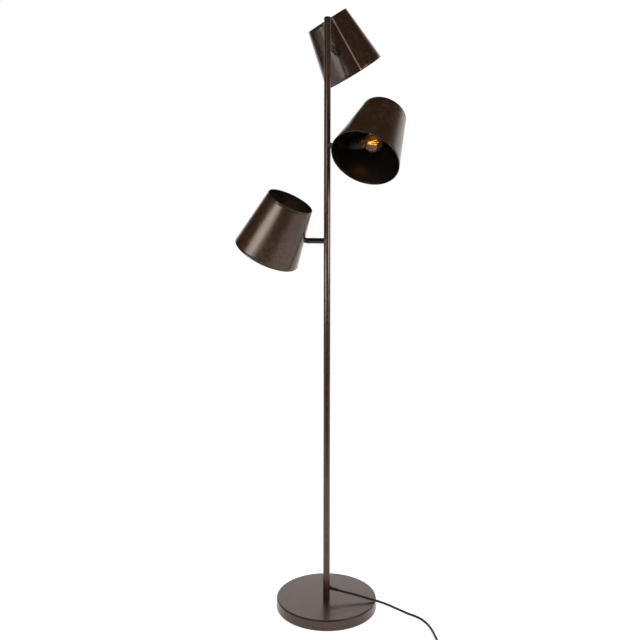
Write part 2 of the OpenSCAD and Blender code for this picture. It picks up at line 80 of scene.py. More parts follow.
# Sizes and places shared with the CAD source
POLE_AXIS = (0.0, -16 * mm)
POLE_R = 8.5 * mm
POLE_WALL = 1.5 * mm
ARM_R = 7 * mm
ARM_REACH = 49 * mm
STUB_REACH = 12.7 * mm
KNUCKLE_REACH = 9.5 * mm
SMALL_R = 57.5 * mm
LARGE_R = 85 * mm
SHADE_LEN = 148 * mm
ENTRY_FROM_LARGE = 68 * mm
SEAM_ANGLE = 335
HOLDER_FRONT = KNUCKLE_REACH + 48.5 * mm
HOLDER_R = 13.75 * mm
BULB_CENTRE = KNUCKLE_REACH + 78 * mm
BULB_R = 22.5 * mm
NECK_R = 6.6 * mm
NECK_FROM = KNUCKLE_REACH + 43 * mm
CORD_R = 2.75 * mm
BUSH_Z = 51 * mm

# Each head's height, and its direction, swivel, tilt and clamping angle in degrees
HEADS = {
    "low": (925.5 * mm, 183, 129, 14, 110),
    "mid": (1165 * mm, 350.5, 105, -36.5, 134.5),
    "top": (1421 * mm, 61, 152, 25, 98.5),
}

# The cord's route from the bush to the foot switch, in millimetres
RUN_ROUTE = [
    (30, -20, 46), (45, -22, 43.2), (60, -24, 40.4), (75, -26.5, 37.5), (90, -29.5, 34.4),
    (105, -32, 31.3), (118, -33.5, 28.4), (131, -35.5, 25.2), (145, -37.5, 21.4),
    (159, -40, 16.8), (173, -42.5, 11.8), (186, -45.5, 7.4), (198, -50, 4.2),
    (209, -56, 2.9), (220, -65, 2.8), (229, -76, 2.8), (236, -89, 2.8), (241, -103, 2.8),
    (244, -117, 2.8), (246, -131, 2.8), (247, -145, 2.8), (248, -159, 2.8),
    (249, -173, 2.8), (250, -187, 3), (250, -198, 4), (250, -208, 4.5), (250, -214, 4.5),
]
SWITCH_CENTRE = (250 * mm, -259 * mm)
SWITCH_CORD_Z = 4.5
SWITCH_END_R = 19 * mm
SWITCH_HALF_RUN = 16 * mm
SWITCH_HOLE_R = 12.6 * mm
BOOT_LEN = 10 * mm
COIL_START = (250, -304)
COIL_CENTRE = (208.5, -324)
COIL_LOOPS = 6.5
COIL_INNER_R = 22
COIL_PITCH = 6
COIL_LOW_Z = 2.8
STEPS_PER_LOOP = 24
PLUG_START = (167 * mm, -299 * mm, 7 * mm)
PLUG_LEN = 40 * mm
PIN_SPACING = 18.6 * mm

# The lit strips inside a bulb
STRIP_FROM = BULB_CENTRE - 14 * mm
STRIP_LEN = 26 * mm
STRIP_TURNS = (45, 135, 225, 315)
SPOKE_R = 0.35 * mm

# The camera; its focal length is in pixels of a picture 640 pixels wide
SENSOR_WIDTH = 36
FOCAL_PIXELS = 566
PICTURE_WIDTH = 640
CAMERA_PLACE = (-17.6 * mm, -1444 * mm, 725.8 * mm)
CAMERA_ROLL = -0.0019
FLOOR_R = 6.0

MERGE_DISTANCE = 2e-6
SHARP_ANGLE = radians(32)
FLAT_ANGLE = radians(0.4)


# What every colour property shares
TONE = {"min": 0, "max": 1, "subtype": "COLOR"}


class LampSizes(bpy.types.PropertyGroup):
    """Sizes of the details that the frame leaves open."""

    lip_radius: FloatProperty(
        name="Lip Radius", description="Radius of the rounded rims of the shades",
        default=0.8 * mm, min=0.5 * mm, max=2 * mm, subtype="DISTANCE")
    shade_wall: FloatProperty(
        name="Shade Wall", description="Thickness of the shades' metal",
        default=1 * mm, min=0.6 * mm, max=2 * mm, subtype="DISTANCE")
    weld_width: FloatProperty(
        name="Weld Width", description="Half the width of the weld along a shade",
        default=1.6 * mm, min=0.5 * mm, max=3 * mm, subtype="DISTANCE")
    weld_height: FloatProperty(
        name="Weld Height", description="How far the weld stands out of a shade",
        default=0.35 * mm, min=0, max=1 * mm, subtype="DISTANCE")
    base_edge: FloatProperty(
        name="Base Edge", description="Radius of the base's rounded top edge",
        default=3 * mm, min=1 * mm, max=6 * mm, subtype="DISTANCE")
    holder_flutes: IntProperty(
        name="Holder Flutes", description="Grip flutes round a lampholder's skirt",
        default=28, min=8, max=60)
    bush_rings: IntProperty(
        name="Bush Rings", description="Grooves along the cord's tapered bush",
        default=5, min=2, max=10)


class LampColours(bpy.types.PropertyGroup):
    """Colours of the lamp's finishes, and of the painted shadow inside the shades."""

    bronze_dark: FloatVectorProperty(
        name="Bronze Dark", description="Ground tone of the aged bronze",
        default=(0.043, 0.021, 0.009), **TONE)
    bronze_rubbed: FloatVectorProperty(
        name="Bronze Rubbed", description="Tone of the rubbed places in the aged bronze",
        default=(0.11, 0.055, 0.038), **TONE)
    weld: FloatVectorProperty(
        name="Weld", description="Tone of the welds",
        default=(0.52, 0.32, 0.25), **TONE)
    # The inside tone is painted shadow: a darker colour for the shades' inner walls, where little
    # light reaches.
    inside: FloatVectorProperty(
        name="Inside", description="Tone inside the shades",
        default=(0.014, 0.009, 0.006), **TONE)
    plastic: FloatVectorProperty(
        name="Plastic", description="Black plastic of the lampholders, switch and plug",
        default=(0.016, 0.016, 0.017), **TONE)
    jacket: FloatVectorProperty(
        name="Cord Jacket", description="The cord's black-brown jacket",
        default=(0.022, 0.016, 0.014), **TONE)
    glass: FloatVectorProperty(
        name="Bulb Glass", description="Tint of the bulbs' glass",
        default=(1.0, 0.8, 0.46), **TONE)
    glow: FloatVectorProperty(
        name="Glow", description="Colour of the lit filaments",
        default=(0.36, 0.125, 0.008), **TONE)


class StudioSettings(bpy.types.PropertyGroup):
    """Light of the studio."""

    world_level: FloatProperty(
        name="World Level", description="Strength of the even light from all round",
        default=0.45, min=0, max=2)
    key_power: FloatProperty(
        name="Key Power", description="Power of the wide light at the left",
        default=1.1, min=0, max=500, subtype="POWER")
    upper_power: FloatProperty(
        name="Upper Power", description="Power of the light above the one at the left",
        default=5, min=0, max=500, subtype="POWER")
    fill_power: FloatProperty(
        name="Fill Power", description="Power of the small light at the right",
        default=13, min=0, max=500, subtype="POWER")


def sizes():
    return bpy.context.scene.lamp_sizes


def colours():
    return bpy.context.scene.lamp_colours


# Places: 4 by 4 matrices that carry a head's own coordinates into the frame's


def turn(axis, degrees):
    """A turn about one axis, as a 4 by 4 matrix."""
    c, s = cos(radians(degrees)), sin(radians(degrees))
    matrix = np.eye(4)
    a, b = {"x": (1, 2), "y": (2, 0), "z": (0, 1)}[axis]
    matrix[a, a] = matrix[b, b] = c
    matrix[a, b], matrix[b, a] = -s, s
    return matrix


def shift(x=0.0, y=0.0, z=0.0):
    """A move, as a 4 by 4 matrix."""
    matrix = np.eye(4)
    matrix[:3, 3] = x, y, z
    return matrix


ALONG_X = turn("y", 90)
POLE = shift(*POLE_AXIS)
LEAN = atan((LARGE_R - SMALL_R) / SHADE_LEN)
ENTRY_R = LARGE_R - (LARGE_R - SMALL_R) * ENTRY_FROM_LARGE / SHADE_LEN


def head_frame(head):
    """On the pole's axis at the arm's height, with X out along the arm."""
    height, direction = HEADS[head][:2]
    return POLE @ shift(z=height) @ turn("z", direction)


def shade_frame(head):
    """On the tilt hinge, with X into the shade along the lampholder."""
    _, _, swivel, tilt, clamp = HEADS[head]
    arm = head_frame(head) @ turn("x", swivel) @ shift(ARM_REACH)
    return arm @ turn("y", tilt) @ turn("x", clamp)


def shade_axis_frame(head):
    """In the centre of the shade's small end, with Z along the shade's axis."""
    along = ENTRY_FROM_LARGE - ENTRY_R * tan(LEAN) - SHADE_LEN
    axis = shift(KNUCKLE_REACH + ENTRY_R / cos(LEAN)) @ turn("z", -np.degrees(LEAN))
    return shade_frame(head) @ axis @ turn("x", -90) @ shift(z=along)


def bush_place():
    """The frame on the pole's wall where the cord leaves it, with X out along the bush, and
    the bush's length."""
    x, y, z = np.array(RUN_ROUTE[0]) * mm
    y -= POLE_AXIS[1]
    out, drop = hypot(x, y) - POLE_R, BUSH_Z - z
    root = POLE @ turn("z", np.degrees(atan2(y, x))) @ shift(POLE_R, 0, BUSH_Z)
    return root @ turn("y", np.degrees(atan(drop / out))), hypot(out, drop)


def placed(points, matrix):
    """The points of a grid, carried by a matrix."""
    return points @ matrix[:3, :3].T + matrix[:3, 3]


# Surfaces: grids of points worked out as whole arrays


def smooth_step(value):
    """Rises from 0 to 1 with level ends: 3 t^2 - 2 t^3, with t held between 0 and 1."""
    t = np.clip(value, 0, 1)
    return t * t * (3 - 2 * t)


def ridges(turns, sharpness):
    """Ridges of height 1 at whole turns: (0.5 + 0.5 cos(2 pi turns)) ^ sharpness."""
    return (0.5 + 0.5 * np.cos(2 * np.pi * turns)) ** sharpness


def push_out(grid, push, angle):
    """Moves a turned grid's points away from its axis."""
    grid[:, :, 0] += push * np.cos(angle)
    grid[:, :, 1] += push * np.sin(angle)


def rounded(corners, radius, steps=4, closed=False):
    """Softens a profile's corners. Each corner becomes the quadratic curve from one radius
    before it to one radius after it, with a point a third of a radius beyond either end, so
    that the straight stretches stay flat when they are shaded."""
    corner = np.asarray(corners, float)
    back = np.roll(corner, 1, axis=0) - corner
    ahead = np.roll(corner, -1, axis=0) - corner
    back_len = np.linalg.norm(back, axis=1, keepdims=True)
    ahead_len = np.linalg.norm(ahead, axis=1, keepdims=True)
    reach = np.minimum(np.reshape(radius, (-1, 1)), 0.37 * np.minimum(back_len, ahead_len))
    t = np.linspace(0, 1, steps)[None, :, None]
    before = (corner + back / back_len * reach)[:, None]
    after = (corner + ahead / ahead_len * reach)[:, None]
    arc = (1 - t) ** 2 * before + 2 * t * (1 - t) * corner[:, None] + t**2 * after
    lead = (corner + back / back_len * reach * 1.33)[:, None]
    trail = (corner + ahead / ahead_len * reach * 1.33)[:, None]
    soft = np.concatenate([lead, arc, trail], axis=1)
    if closed:
        return soft.reshape(-1, 2)
    return np.concatenate([corner[:1], soft[1:-1].reshape(-1, 2), corner[-1:]])


def revolved(profile, sides=96, angles=None):
    """Turns a profile of (along, radius) round the Z axis: x = radius cos(a), y = radius sin(a)
    and z = along, for each angle a."""
    angle = np.linspace(0, 2 * np.pi, sides, endpoint=False) if angles is None else angles
    along, radius = np.asarray(profile, float).T
    z = np.broadcast_to(along[:, None], (len(along), len(angle)))
    return np.stack([radius[:, None] * np.cos(angle), radius[:, None] * np.sin(angle), z], axis=-1)


def stadium(radius, half_run, angle):
    """Outline with round ends, as x and y at each angle: a circle of the radius, whose halves
    are moved half_run to either side along Y, with the step close to the X axis."""
    slide = np.clip(np.sin(angle) * 1e3, -1, 1) * half_run
    return radius * np.cos(angle), radius * np.sin(angle) + slide


def grid_faces(rows, columns, closed_rows, closed_columns):
    """Four-sided faces between neighbouring points of a grid, as rows of four indices."""
    i = np.arange(rows if closed_rows else rows - 1)[:, None]
    j = np.arange(columns if closed_columns else columns - 1)[None, :]
    k, m = (i + 1) % rows, (j + 1) % columns
    corners = [i * columns + j, i * columns + m, k * columns + m, k * columns + j]
    return np.stack(np.broadcast_arrays(*corners), axis=-1).reshape(-1, 4)


def outward(points, faces):
    """Turns the faces round if they point inwards, from the sign of the volume that they
    enclose about the grid's middle."""
    flat = points.reshape(-1, 3) - points.reshape(-1, 3).mean(axis=0)
    a, b, c, d = (flat[faces[:, n]] for n in range(4))
    volume = np.einsum("ij,ij->", a, np.cross(b, c)) + np.einsum("ij,ij->", a, np.cross(c, d))
    return faces if volume > 0 else faces[:, ::-1]


def add_piece(name, grids, body, material, replaces=(), closed_rows=False, masks=None):
    """Puts one or more grids of points into one mesh object that rides on a body. Grids close
    round their columns. Poles and seams are merged, so that the surface is closed."""
    faces, offset = [], 0
    for grid in grids:
        made = grid_faces(grid.shape[0], grid.shape[1], closed_rows, True)
        faces.append(outward(grid, made) + offset)
        offset += grid.shape[0] * grid.shape[1]
    points = np.concatenate([grid.reshape(-1, 3) for grid in grids])
    data = bpy.data.meshes.new(name)
    data.from_pydata(points, [], np.concatenate(faces))
    for mask, values in (masks or {}).items():
        attribute = data.attributes.new(mask, "FLOAT", "POINT")
        attribute.data.foreach_set("value", np.asarray(values, np.float32).ravel())
    clean_up(data, flatten=False)
    return finish_piece(name, data, body, material, replaces)


def clean_up(data, flatten):
    """Merges points that coincide and, to flatten, the triangles that lie in one plane."""
    work = bmesh.new()
    work.from_mesh(data)
    bmesh.ops.remove_doubles(work, verts=work.verts, dist=MERGE_DISTANCE)
    if flatten:
        bmesh.ops.dissolve_limit(
            work, angle_limit=FLAT_ANGLE, verts=work.verts, edges=work.edges)
    work.to_mesh(data)
    work.free()


def link_object(name, data):
    """A new object in the scene."""
    made = bpy.data.objects.new(name, data)
    bpy.context.scene.collection.objects.link(made)
    return made


def finish_piece(name, data, body, material, replaces):
    """Makes the mesh an object with its material and body."""
    data.shade_smooth()
    data.materials.clear()
    data.materials.append(material)
    piece = link_object(name, data)
    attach(piece, body)
    if replaces:
        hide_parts(*replaces)
    return piece


def softened_copy(node, material, bevel=0.25 * mm):
    """A copy of a CAD node with its triangles merged, smooth where it is round, and a small
    bevel along its sharp edges."""
    source = frame["nodes"][node]
    data = source.data.copy()
    clean_up(data, flatten=True)
    piece = finish_piece(node + "_part", data, source["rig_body"], material, [node])
    data.set_sharp_from_angle(angle=SHARP_ANGLE)
    edge = piece.modifiers.new("Soft edges", "BEVEL")
    edge.width, edge.segments = bevel, 2
    edge.limit_method, edge.angle_limit = "ANGLE", SHARP_ANGLE
    return piece


# Materials


def new_group(name, inputs):
    """Starts a pattern: a shader node group that takes a Vector and the given numbers and
    colours, and gives a colour, a roughness and a height."""
    group = bpy.data.node_groups.new(name, "ShaderNodeTree")
    group.interface.new_socket(name="Vector", in_out="INPUT", socket_type="NodeSocketVector")
    for socket, default in inputs.items():
        kind = "NodeSocketFloat" if isinstance(default, float) else "NodeSocketColor"
        made = group.interface.new_socket(name=socket, in_out="INPUT", socket_type=kind)
        made.default_value = default if isinstance(default, float) else (*default, 1)
    for socket, kind in (("Color", "Color"), ("Roughness", "Float"), ("Height", "Float")):
        group.interface.new_socket(
            name=socket, in_out="OUTPUT", socket_type="NodeSocket" + kind)
    return group, group.nodes.new("NodeGroupInput").outputs


def end_group(group, *sources):
    """Links the colour, the roughness and the height to the group's outputs."""
    made = group.nodes.new("NodeGroupOutput")
    for source, socket in zip(sources, made.inputs):
        group.links.new(source, socket)
    return group


def set_input(tree, socket, value):
    """Links a socket to another one, or gives it a number, a vector or a colour."""
    if isinstance(value, bpy.types.NodeSocket):
        tree.links.new(value, socket)
    else:
        socket.default_value = (*value, 1) if socket.type == "RGBA" else value


def add_node(tree, kind, inputs=None, **settings):
    """A shader node, its settings made first and its inputs after them."""
    node = tree.nodes.new("ShaderNode" + kind)
    for setting, value in settings.items():
        setattr(node, setting, value)
    for key, value in (inputs or {}).items():
        set_input(tree, node.inputs[key], value)
    return node


def noise(tree, vector, scale, detail, roughness=0.5, distortion=0.0):
    """The value of a Noise Texture."""
    return add_node(tree, "TexNoise", {
        "Vector": vector, "Scale": scale, "Detail": detail, "Roughness": roughness,
        "Distortion": distortion}).outputs[0]


def remapped(tree, value, low, high, to_low=0.0, to_high=1.0):
    """The result of a Map Range."""
    return add_node(tree, "MapRange", {
        "Value": value, "From Min": low, "From Max": high, "To Min": to_low,
        "To Max": to_high}).outputs["Result"]


def calculated(tree, operation, a, b):
    """The result of a Math node."""
    return add_node(tree, "Math", {0: a, 1: b}, operation=operation).outputs[0]


def mixed(tree, factor, a, b, blend_type="MIX"):
    """The result of a colour Mix."""
    return add_node(tree, "Mix", {0: factor, 6: a, 7: b}, data_type="RGBA",
                    blend_type=blend_type).outputs[2]


def set_shader(tree, inputs):
    """Sets or links inputs of the tree's Principled BSDF."""
    for name, value in inputs.items():
        set_input(tree, tree.nodes["Principled BSDF"].inputs[name], value)


def patina_group():
    """Aged metal: soft rubbed clouds, broken up by finer blotches and small bright flecks."""
    group, given = new_group("Aged patina", {
        "Scale": 18.0, "Ground": (0.03, 0.018, 0.012), "Rubbed": (0.1, 0.06, 0.04),
        "Amount": 0.8, "Flecks": 0.5, "Smooth": 0.28, "Dull": 0.42,
    })
    vector, scale = given["Vector"], given["Scale"]
    clouds = noise(group, vector, scale, 4, 0.6, 0.4)
    blotches = noise(group, vector, calculated(group, "MULTIPLY", scale, 7.0), 5, 0.65)
    flecks = noise(group, vector, calculated(group, "MULTIPLY", scale, 26.0), 2, 0.5)
    cloud_mask = remapped(group, clouds, 0.38, 0.66)
    blotch_mask = remapped(group, blotches, 0.42, 0.66)
    both = calculated(group, "MULTIPLY", calculated(group, "ADD", cloud_mask, 0.35), blotch_mask)
    worn = calculated(group, "MULTIPLY", both, given["Amount"])
    fleck_mask = remapped(group, flecks, 0.62, 0.74)
    bright = calculated(group, "MULTIPLY", fleck_mask, given["Flecks"])
    ground = mixed(group, worn, given["Ground"], given["Rubbed"])
    colour = mixed(group, bright, ground, (0.26, 0.16, 0.11))
    roughness = remapped(group, both, 0, 1, given["Smooth"], given["Dull"])
    return end_group(group, colour, roughness, blotches)


def grain_group():
    """Fine even grain of moulded, cast and drawn surfaces."""
    group, given = new_group("Fine grain", {
        "Scale": 600.0, "Tone": (0.02, 0.02, 0.02), "Variation": 0.25, "Smooth": 0.35,
        "Dull": 0.5,
    })
    vector, scale = given["Vector"], given["Scale"]
    grain = noise(group, vector, scale, 3, 0.6)
    broad = noise(group, vector, calculated(group, "MULTIPLY", scale, 0.06), 3, 0.5)
    cloud = remapped(group, broad, 0.35, 0.65)
    level = calculated(group, "MULTIPLY", cloud, given["Variation"])
    paler = mixed(group, level, given["Tone"], given["Tone"], "ADD")
    roughness = remapped(group, grain, 0.3, 0.7, given["Smooth"], given["Dull"])
    return end_group(group, paler, roughness, grain)


def shared_group(name, build):
    return bpy.data.node_groups.get(name) or build()


def new_material(name):
    """An empty material with its node tree."""
    material = bpy.data.materials.new(name)
    material.use_nodes = True
    return material, material.node_tree


def start_material(name, group, values, bump, **constants):
    """A material whose colour, roughness and bump come from a group on Object coordinates.
    Constants go straight onto the shader's sockets."""
    material, tree = new_material(name)
    place = add_node(tree, "TexCoord").outputs["Object"]
    pattern = add_node(tree, "Group", {"Vector": place, **values}, name="Pattern",
                       node_tree=group).outputs
    relief = add_node(tree, "Bump", {
        "Strength": bump, "Distance": 0.1 * mm, "Height": pattern["Height"]})
    set_shader(tree, {
        "Base Color": pattern["Color"], "Roughness": pattern["Roughness"],
        "Normal": relief.outputs["Normal"],
        **{socket.replace("_", " "): value for socket, value in constants.items()}})
    return material


def bronze(name="Aged bronze", welded=False, **changes):
    """Dark bronze lacquer with rubbed places. On a welded piece the weld attribute lightens the
    seam, and the inside attribute paints shadow onto what lies in a shade: its inner wall."""
    found = bpy.data.materials.get(name)
    if found:
        return found
    values = {
        "Scale": 16.0,
        "Ground": colours().bronze_dark,
        "Rubbed": colours().bronze_rubbed,
        "Amount": 0.5,
        "Flecks": 0.12,
        "Smooth": 0.28,
        "Dull": 0.38,
        **changes,
    }
    material = start_material(
        name, shared_group("Aged patina", patina_group), values, 0.08,
        Metallic=0.45, Specular_IOR_Level=0.6, Coat_Weight=0.25, Coat_Roughness=0.12)
    if welded:
        tree = material.node_tree
        colour = tree.nodes["Pattern"].outputs["Color"]
        # The inside tone mixed in here is painted shadow; the weld tone is the weld's own colour.
        for mask, tone in (("inside", colours().inside), ("weld", colours().weld)):
            place = add_node(tree, "Attribute", attribute_name=mask)
            colour = mixed(tree, place.outputs["Fac"], colour, tone)
        set_shader(tree, {"Base Color": colour})
    return material


def dark_bronze():
    """The darker lacquer of the arms, the hinges and the pole's cap."""
    return bronze("Dark bronze", Ground=(0.02, 0.0105, 0.006), Rubbed=(0.05, 0.028, 0.018),
                  Smooth=0.33, Dull=0.45)


def grained(name, tone, scale=900.0, bump=0.15, smooth=0.35, dull=0.5, variation=0.25,
            **constants):
    """A moulded, cast or drawn finish."""
    found = bpy.data.materials.get(name)
    if found:
        return found
    values = {"Scale": scale, "Tone": tone, "Variation": variation, "Smooth": smooth, "Dull": dull}
    return start_material(
        name, shared_group("Fine grain", grain_group), values, bump, **constants)


def black_plastic():
    return grained("Black plastic", colours().plastic, smooth=0.3, dull=0.45)


def cord_jacket():
    return grained("Cord jacket", colours().jacket, scale=1400.0, smooth=0.42, dull=0.58)


def zinc_steel():
    return grained("Zinc-plated steel", (0.46, 0.46, 0.47), scale=500.0, smooth=0.22, dull=0.38,
                   variation=0.15, Metallic=1.0)


def dull_steel():
    return grained("Dull steel", (0.05, 0.045, 0.041), scale=500.0, smooth=0.38, dull=0.55,
                   variation=0.15, Metallic=1.0)


def nickel_brass():
    return grained("Nickelled brass", (0.62, 0.52, 0.34), scale=700.0, smooth=0.2, dull=0.34,
                   variation=0.15, Metallic=1.0)


def pale_plastic():
    return grained("Pale plastic", (0.55, 0.52, 0.45), smooth=0.3, dull=0.42)


def bulb_glass():
    """Thin tinted glass, faintly lit by its strips."""
    found = bpy.data.materials.get("Bulb glass")
    if found:
        return found
    material, tree = new_material("Bulb glass")
    set_shader(tree, {
        "Base Color": colours().glass, "Roughness": 0.02, "Transmission Weight": 1, "IOR": 1.45,
        "Emission Color": (1.0, 0.34, 0.02), "Emission Strength": 0.008})
    return material


def lit_filament():
    """Amber phosphor strips with small hot places."""
    found = bpy.data.materials.get("Lit filament")
    if found:
        return found
    material = grained("Lit filament", (0.9, 0.55, 0.12), scale=1500.0, smooth=0.4, dull=0.6)
    tree = material.node_tree
    place = add_node(tree, "TexCoord").outputs["Object"]
    hot = remapped(tree, noise(tree, place, 350.0, 2), 0.57, 0.66)
    glow = mixed(tree, hot, colours().glow, (1.0, 0.72, 0.35))
    set_shader(tree, {"Emission Color": glow, "Emission Strength": 3.6})
    return material


# Operators, in the order in which main calls them


class LAMP_OT_camera(bpy.types.Operator):
    """Add the camera: level, in front of the lamp at half its height"""

    bl_idname = "lamp.camera"
    bl_label = "Add Camera"

    def execute(self, context):
        data = bpy.data.cameras.new("Camera")
        data.sensor_width = SENSOR_WIDTH
        data.lens = SENSOR_WIDTH * FOCAL_PIXELS / PICTURE_WIDTH
        data.clip_start, data.clip_end = 0.01, 50
        camera = link_object("Camera", data)
        camera.location = CAMERA_PLACE
        camera.rotation_euler = (radians(90), CAMERA_ROLL, 0)
        context.scene.camera = camera
        return {"FINISHED"}


def cord_route():
    """The whole cord's centreline in metres: along the floor to the foot switch and through
    it, then a coil that spirals in on the floor, climbs a layer in its innermost half loop
    and spirals out on top, to the plug. The coil's radius is its inner one plus the pitch for
    each loop's distance from its middle one."""
    loop = np.arange(int(COIL_LOOPS * STEPS_PER_LOOP) + 1) / STEPS_PER_LOOP
    middle = loop - COIL_LOOPS / 2
    radius = COIL_INNER_R + COIL_PITCH * np.abs(middle)
    angle = -2 * np.pi * loop
    height = COIL_LOW_Z + COIL_PITCH * smooth_step(middle * 2 + 0.5)
    coil = np.stack([
        COIL_CENTRE[0] + radius * np.cos(angle),
        COIL_CENTRE[1] + radius * np.sin(angle),
        height,
    ], axis=1)
    x, y = COIL_START
    end_x, end_y = PLUG_START[0] / mm, PLUG_START[1] / mm
    through = [(250, -240, SWITCH_CORD_Z), (250, -278, SWITCH_CORD_Z)]
    lead_in = [(x, y, 4.5), (x, y - 5.5, 4.5), (x, y - 10, 4.0), (x, y - 15, 3.1)]
    lead_out = [(end_x, end_y - 17, 8.4), (end_x, end_y - 10, 7.3),
                (end_x, end_y - 5.5, 7), (end_x, end_y, 7)]
    return np.concatenate([RUN_ROUTE, through, lead_in, coil, lead_out]) * mm


class LAMP_OT_cord(bpy.types.Operator):
    """Add the supply cord, from the pole through the foot switch and the coil to the plug"""

    bl_idname = "lamp.cord"
    bl_label = "Add Supply Cord"

    def execute(self, context):
        route = cord_route()
        data = bpy.data.curves.new("supply_cord", "CURVE")
        data.dimensions = "3D"
        data.bevel_depth, data.bevel_resolution = CORD_R, 4
        data.resolution_u, data.use_fill_caps = 3, True
        spline = data.splines.new("BEZIER")
        spline.bezier_points.add(len(route) - 1)
        spline.bezier_points.foreach_set("co", route.ravel())
        for point in spline.bezier_points:
            point.handle_left_type = point.handle_right_type = "AUTO"
        data.materials.append(cord_jacket())
        cord = link_object("supply_cord", data)
        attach(cord, "root")
        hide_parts("cord_run", "cord_coil")
        return {"FINISHED"}


class LAMP_OT_bush(bpy.types.Operator):
    """Add the tapered, grooved bush that relieves the cord where it leaves the pole"""

    bl_idname = "lamp.bush"
    bl_label = "Add Cord Bush"

    def execute(self, context):
        # The radius falls evenly from 4.25 to 3.4 mm behind a flange, less the grooves
        place, length = bush_place()
        body = np.linspace(2.6 * mm, length - 1.2 * mm, 90)
        share = (body - body[0]) / (body[-1] - body[0])
        taper = (4.25 - 0.85 * share) * mm
        groove = 0.45 * mm * ridges(sizes().bush_rings * share, 4)
        flange = rounded(np.array([
            [-2.8, 3.9], [-0.5, 3.9], [-0.5, 4.8], [1.6, 4.8], [2.4, 4.3]]) * mm, 0.3 * mm)
        tip = np.array([[length - 0.7 * mm, 3.35 * mm], [length - 0.2 * mm, 3.1 * mm],
                        [length, 2.9 * mm], [length, CORD_R], [-2.8 * mm, CORD_R]])
        profile = np.concatenate([flange, np.stack([body, taper - groove], axis=1), tip])
        grid = placed(placed(revolved(profile, 48), ALONG_X), place)
        rubber = grained("Bush rubber", (0.011, 0.0085, 0.0075), smooth=0.5, dull=0.65)
        add_piece("cord_bush", [grid], "root", rubber, ["cable_bush"],
                  closed_rows=True)
        return {"FINISHED"}


class LAMP_OT_foot_switch(bpy.types.Operator):
    """Add the foot switch: a shell in two halves, its ribbed boots and a dished button"""

    bl_idname = "lamp.foot_switch"
    bl_label = "Add Foot Switch"

    def execute(self, context):
        self.add_shell()
        self.add_boots()
        self.add_button()
        return {"FINISHED"}

    def add_shell(self):
        """Each row is the round-ended outline at one height, drawn in by an inset. The top
        rows slide from the outline to the button's round hole."""
        just_off_axis = 1e-4
        angle = np.linspace(0, 2 * np.pi, 128, endpoint=False) + just_off_axis
        profile = rounded(np.array([
            [6, 0.0], [0.6, 0.0], [0, 0.6], [0, 7.6], [0.7, 7.8], [0.7, 8.2], [0, 8.4],
            [0, 13.6], [1.6, 17.6], [4.6, 19.6],
        ]) * mm, np.array([0, 0.3, 0.5, 0.25, 0.1, 0.1, 0.25, 3, 3, 1.5]) * mm, 5)
        inset, height = profile.T
        x, y = stadium(SWITCH_END_R - inset[:, None], SWITCH_HALF_RUN, angle)
        side = np.stack([x, y, np.broadcast_to(height[:, None], x.shape)], axis=-1)
        share = np.linspace(0, 1, 12)[1:, None, None]
        hole = revolved([(20 * mm, SWITCH_HOLE_R)], angles=angle)[0]
        crown = side[-1] * (1 - share) + hole * share
        crown[:, :, 2] = (19.6 + 0.4 * smooth_step(share[:, :, 0] * 1.4)) * mm
        lip_share = 12.3 * mm / SWITCH_HOLE_R
        lip = np.stack([hole * [lip_share, lip_share, 0] + [0, 0, z * mm] for z in (19.7, 16)])
        centre = lip[-1:] * [0, 0, 1]
        floor = np.broadcast_to([0.0, 0.0, 0.0], side[:1].shape)
        grid = np.concatenate([floor, side, crown, lip, centre]) + [*SWITCH_CENTRE, 0]
        add_piece("switch_shell", [grid], "root", black_plastic(),
                  ["switch_base", "switch_cover"])

    def add_boots(self):
        """Two short tapered boots with grooves, one at either end."""
        along = np.linspace(0, BOOT_LEN, 60)
        share = along / BOOT_LEN
        groove = 0.35 * mm * ridges(4 * share + 0.5, 4)
        body = np.stack([along, (4.4 - 1.3 * share) * mm - groove], axis=1)
        ends = np.array([[10, 2.95], [10, 2.75], [-3, 2.75], [-3, 4.4]]) * mm
        boot = revolved(np.concatenate([body, ends]), 40)
        x, y = SWITCH_CENTRE
        reach = SWITCH_END_R + SWITCH_HALF_RUN
        places = [shift(x, y + side * reach, SWITCH_CORD_Z * mm) @ turn("x", -90 * side)
                  for side in (1, -1)]
        add_piece("switch_boots", [placed(boot, place) for place in places], "root",
                  black_plastic(), closed_rows=True)

    def add_button(self):
        """A cap whose top is dished and ringed, down to its skirt."""
        edge = rounded(np.array([[12.2, 0], [12.2, 12], [22.6, 12], [24.5, 10]]) * mm, 0.6 * mm)
        r = np.linspace(9.8, 0, 40) * mm
        dish = (24.5 - 0.9 * smooth_step((9.8 - r / mm) / 6)) * mm
        dish -= 0.18 * mm * ridges(r / (2 * mm), 6) * (r > 1 * mm)
        profile = np.concatenate([edge, np.stack([dish, r], axis=1)])
        grid = revolved(profile, 96) + [*SWITCH_CENTRE, 0]
        add_piece("switch_cap", [grid], "button_body", grained(
            "Button plastic", (0.03, 0.03, 0.032), smooth=0.28, dull=0.4),
            ["switch_button"])


